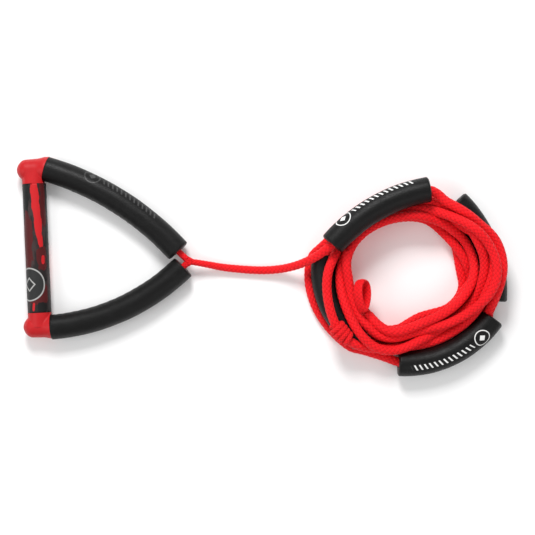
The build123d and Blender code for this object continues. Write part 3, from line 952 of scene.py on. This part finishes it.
def grip_finish():
    """Ragged printed patches over dark foam, then a round grey badge, its rim and diamond pale."""
    material, w, shader = new_material("grip_print", Sheen_Weight=0.02, Sheen_Roughness=0.5,
                                       Specular_IOR_Level=0.2)
    skin = w.group("foam skin", {0: w.object_point()})
    round_top, along = w.split(w.node("ShaderNodeUVMap", uv_map="foam").outputs[0])
    smear = w.node("ShaderNodeMapping", {"Vector": w.object_point(), "Scale": (1.0, 0.35, 1.0)}).outputs[0]
    ragged = w.math("SUBTRACT", w.noise(smear, 210.0, 5.0), 0.5)
    marble = w.ramp(w.noise(smear, 95.0, 4.0), 0.47, 0.60)
    colour = w.mix(marble, (0.016, 0.012, 0.012, 1.0), (0.040, 0.024, 0.024, 1.0))
    for place_round, place_along, half_round, half_along, lean, ink in GRIP_PATCHES:
        down = w.math("SUBTRACT", along, place_along)
        sideways = w.math("MULTIPLY_ADD", down, -lean, w.math("SUBTRACT", round_top, place_round))
        u = w.math("DIVIDE", sideways, half_round)
        v = w.math("DIVIDE", down, half_along)
        oval = w.math("ADD", w.math("POWER", w.math("ABSOLUTE", u), 2.0),
                      w.math("POWER", w.math("ABSOLUTE", v), 4.0))
        inside = w.ramp(w.math("MULTIPLY_ADD", ragged, 3.2, oval), 1.12, 0.88)
        colour = w.mix(inside, colour, ink)
    badge_round, badge_along, badge_r = GRIP_BADGE
    across, down = w.math("SUBTRACT", round_top, badge_round), w.math("SUBTRACT", along, badge_along)
    squares = w.math("MULTIPLY_ADD", down, down, w.math("MULTIPLY", across, across))
    distance = w.math("SQRT", squares)
    disc = w.ramp(distance, badge_r * 0.905, badge_r * 0.885)
    rim = w.ramp(w.math("ABSOLUTE", w.math("SUBTRACT", distance, badge_r * 0.85)), 0.0011, 0.0006)
    slant = w.math("ADD", w.math("ABSOLUTE", down), w.math("ABSOLUTE", across))
    diamond = w.ramp(w.math("ABSOLUTE", w.math("SUBTRACT", slant, badge_r * 0.34)), 0.0014, 0.0009)
    colour = w.mix(disc, colour, (0.022, 0.023, 0.023, 1.0))
    colour = w.mix(w.math("MULTIPLY", w.math("MAXIMUM", rim, diamond), disc), colour, (0.36, 0.36, 0.35, 1.0))
    roughness = w.math("MULTIPLY_ADD", skin["Rubbed"], 0.14, 0.46)
    finish_with(w, shader, colour, roughness, skin["Height"], 0.00025)
    return material


GRIP_PRINT = grip_finish()

# %% The grip
GRIP_LOW, GRIP_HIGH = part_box("grip_sleeve")
GRIP_R = (GRIP_HIGH[0] - GRIP_LOW[0]) / 2
GRIP_EASE = 0.0012


def grip_sleeve():
    """Profile (along, radius) carried round the bar, hollow for the tube, its ends eased."""
    half = (GRIP_HIGH[1] - GRIP_LOW[1]) / 2
    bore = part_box("handle_tube")[1][0] - BAR_X
    turn = np.linspace(0.0, math.pi / 2, 7)
    ease = np.stack([-half + GRIP_EASE * (1 - np.sin(turn)),
                     GRIP_R - GRIP_EASE * (1 - np.cos(turn[::-1]))], axis=1)
    run = np.linspace(-half + GRIP_EASE, half - GRIP_EASE, 130)[1:-1]
    outside = np.stack([run, np.full(128, GRIP_R)], axis=1)
    far = ease[::-1] * (-1, 1)
    bore_run = np.linspace(half, -half, 14)
    profile = np.vstack([ease, outside, far, np.stack([bore_run, np.full(14, bore)], axis=1)])
    along, radius = profile[:, :1], profile[:, 1:]
    around = np.linspace(-math.pi / 2, 1.5 * math.pi, FOAM_COLUMNS + 1)[None, :]
    lumps = np.sin(along * 96.0 + 2.0 * around) + np.sin(along * 171.0 - 3.0 * around)
    reach = radius + np.where(radius > GRIP_R - 1e-6, 0.00005 * lumps, 0.0)
    points = np.stack(np.broadcast_arrays(BAR_X - reach * np.cos(around), along,
                                          BAR_HEIGHT + reach * np.sin(around)),
                      axis=-1)
    full = np.vstack([along, along[:1]])
    uv = np.stack(np.broadcast_arrays(GRIP_R * (around - math.pi / 2), full), axis=-1)
    return grid_piece("printed_grip", points[:, :-1], uv, GRIP_PRINT, "foam", rows_close=True)


grip = grip_sleeve()
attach(grip, "handle")
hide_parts("grip_sleeve")

# %% [markdown]
# The end caps, the tube and the rope inside the handle keep their own CAD shapes, which are right as
# they are. The caps are moulded rubber: slightly mottled red, a fine moulded grain, and a bit of
# polish on it. The tube is brushed metal, drawn along its length. The hidden rope gets a plain twist.

# %% Finishes for the parts that keep their CAD shape
def cap_finish():
    """Red moulded rubber with a fine grain, paler and rougher where it is rubbed."""
    material, w, shader = new_material("cap_rubber", Coat_Weight=0.04, Coat_Roughness=0.35,
                                       Specular_IOR_Level=0.22)
    point = w.object_point()
    cloud, grain = w.noise(point, 60.0, 3.0), w.noise(point, 1400.0, 2.0)
    colour = w.mix(cloud, (0.40, 0.006, 0.009, 1.0), (0.52, 0.009, 0.013, 1.0))
    roughness = w.math("MULTIPLY_ADD", cloud, 0.20, 0.32)
    finish_with(w, shader, colour, roughness, w.math("MULTIPLY_ADD", cloud, 0.6, grain), 0.0002)
    return material


def tube_finish():
    """Brushed aluminium: streaks drawn out along the bar."""
    material, w, shader = new_material("tube_metal", Metallic=1.0)
    drawn = w.node("ShaderNodeMapping", {"Vector": w.object_point(), "Scale": (1.0, 0.02, 1.0)}).outputs[0]
    streaks = w.noise(drawn, 1800.0, 3.0)
    colour = w.mix(streaks, (0.44, 0.44, 0.45, 1.0), (0.62, 0.62, 0.63, 1.0))
    finish_with(w, shader, colour, w.math("MULTIPLY_ADD", streaks, 0.2, 0.28), streaks, 0.00005)
    return material


def core_finish():
    """Twisted core rope: slanted strands from waves on the object's coordinates, with painted shade in the
    grooves between them.
    """
    material, w, shader = new_material("core_rope", Sheen_Weight=0.2)
    strands = w.node("ShaderNodeTexWave", {"Vector": w.object_point(), "Scale": 60.0, "Distortion": 1.5},
                     bands_direction="DIAGONAL").outputs["Fac"]
    # The low parts of the waves, the grooves between the strands, get a darker red: painted shade.
    colour = w.mix(strands, (0.36, 0.006, 0.012, 1.0), (0.80, 0.014, 0.022, 1.0))
    finish_with(w, shader, colour, w.math("MULTIPLY_ADD", strands, -0.15, 0.7), strands, 0.0005)
    return material


CAP_RUBBER, TUBE_METAL, CORE_ROPE = cap_finish(), tube_finish(), core_finish()
for node, finish in (("upper_end_cap", CAP_RUBBER), ("lower_end_cap", CAP_RUBBER),
                     ("handle_tube", TUBE_METAL), ("handle_rope", CORE_ROPE)):
    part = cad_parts[node]
    part.data.materials.clear()
    part.data.materials.append(finish)
    print(node, "gets", finish.name)

# %% [markdown]
# The floor is one large sheet, just under everything, nearly white with the faintest cloudiness, so
# that only soft shadows show where the rope lies. It is scenery and not part of the object.

# %% Floor
def floor_sheet():
    """Square grid: height 0 less a hair, corners out past any view."""
    mesh = bpy.data.meshes.new("floor")
    reach, height = 4.0, -0.0004
    mesh.from_pydata([(-reach, -reach, height), (reach, -reach, height), (reach, reach, height),
                      (-reach, reach, height)], [], [(0, 1, 2, 3)])
    material, w, shader = new_material("floor_paper", Specular_IOR_Level=0.1)
    cloud = w.noise(w.object_point(), 3.0, 2.0)
    colour = w.mix(cloud, (0.90, 0.90, 0.90, 1.0), (0.93, 0.93, 0.93, 1.0))
    finish_with(w, shader, colour, w.math("MULTIPLY_ADD", cloud, 0.05, 0.9), cloud, 0.0001)
    mesh.materials.append(material)
    sheet = bpy.data.objects.new("floor", mesh)
    bpy.context.scene.collection.objects.link(sheet)
    return sheet


floor_sheet()
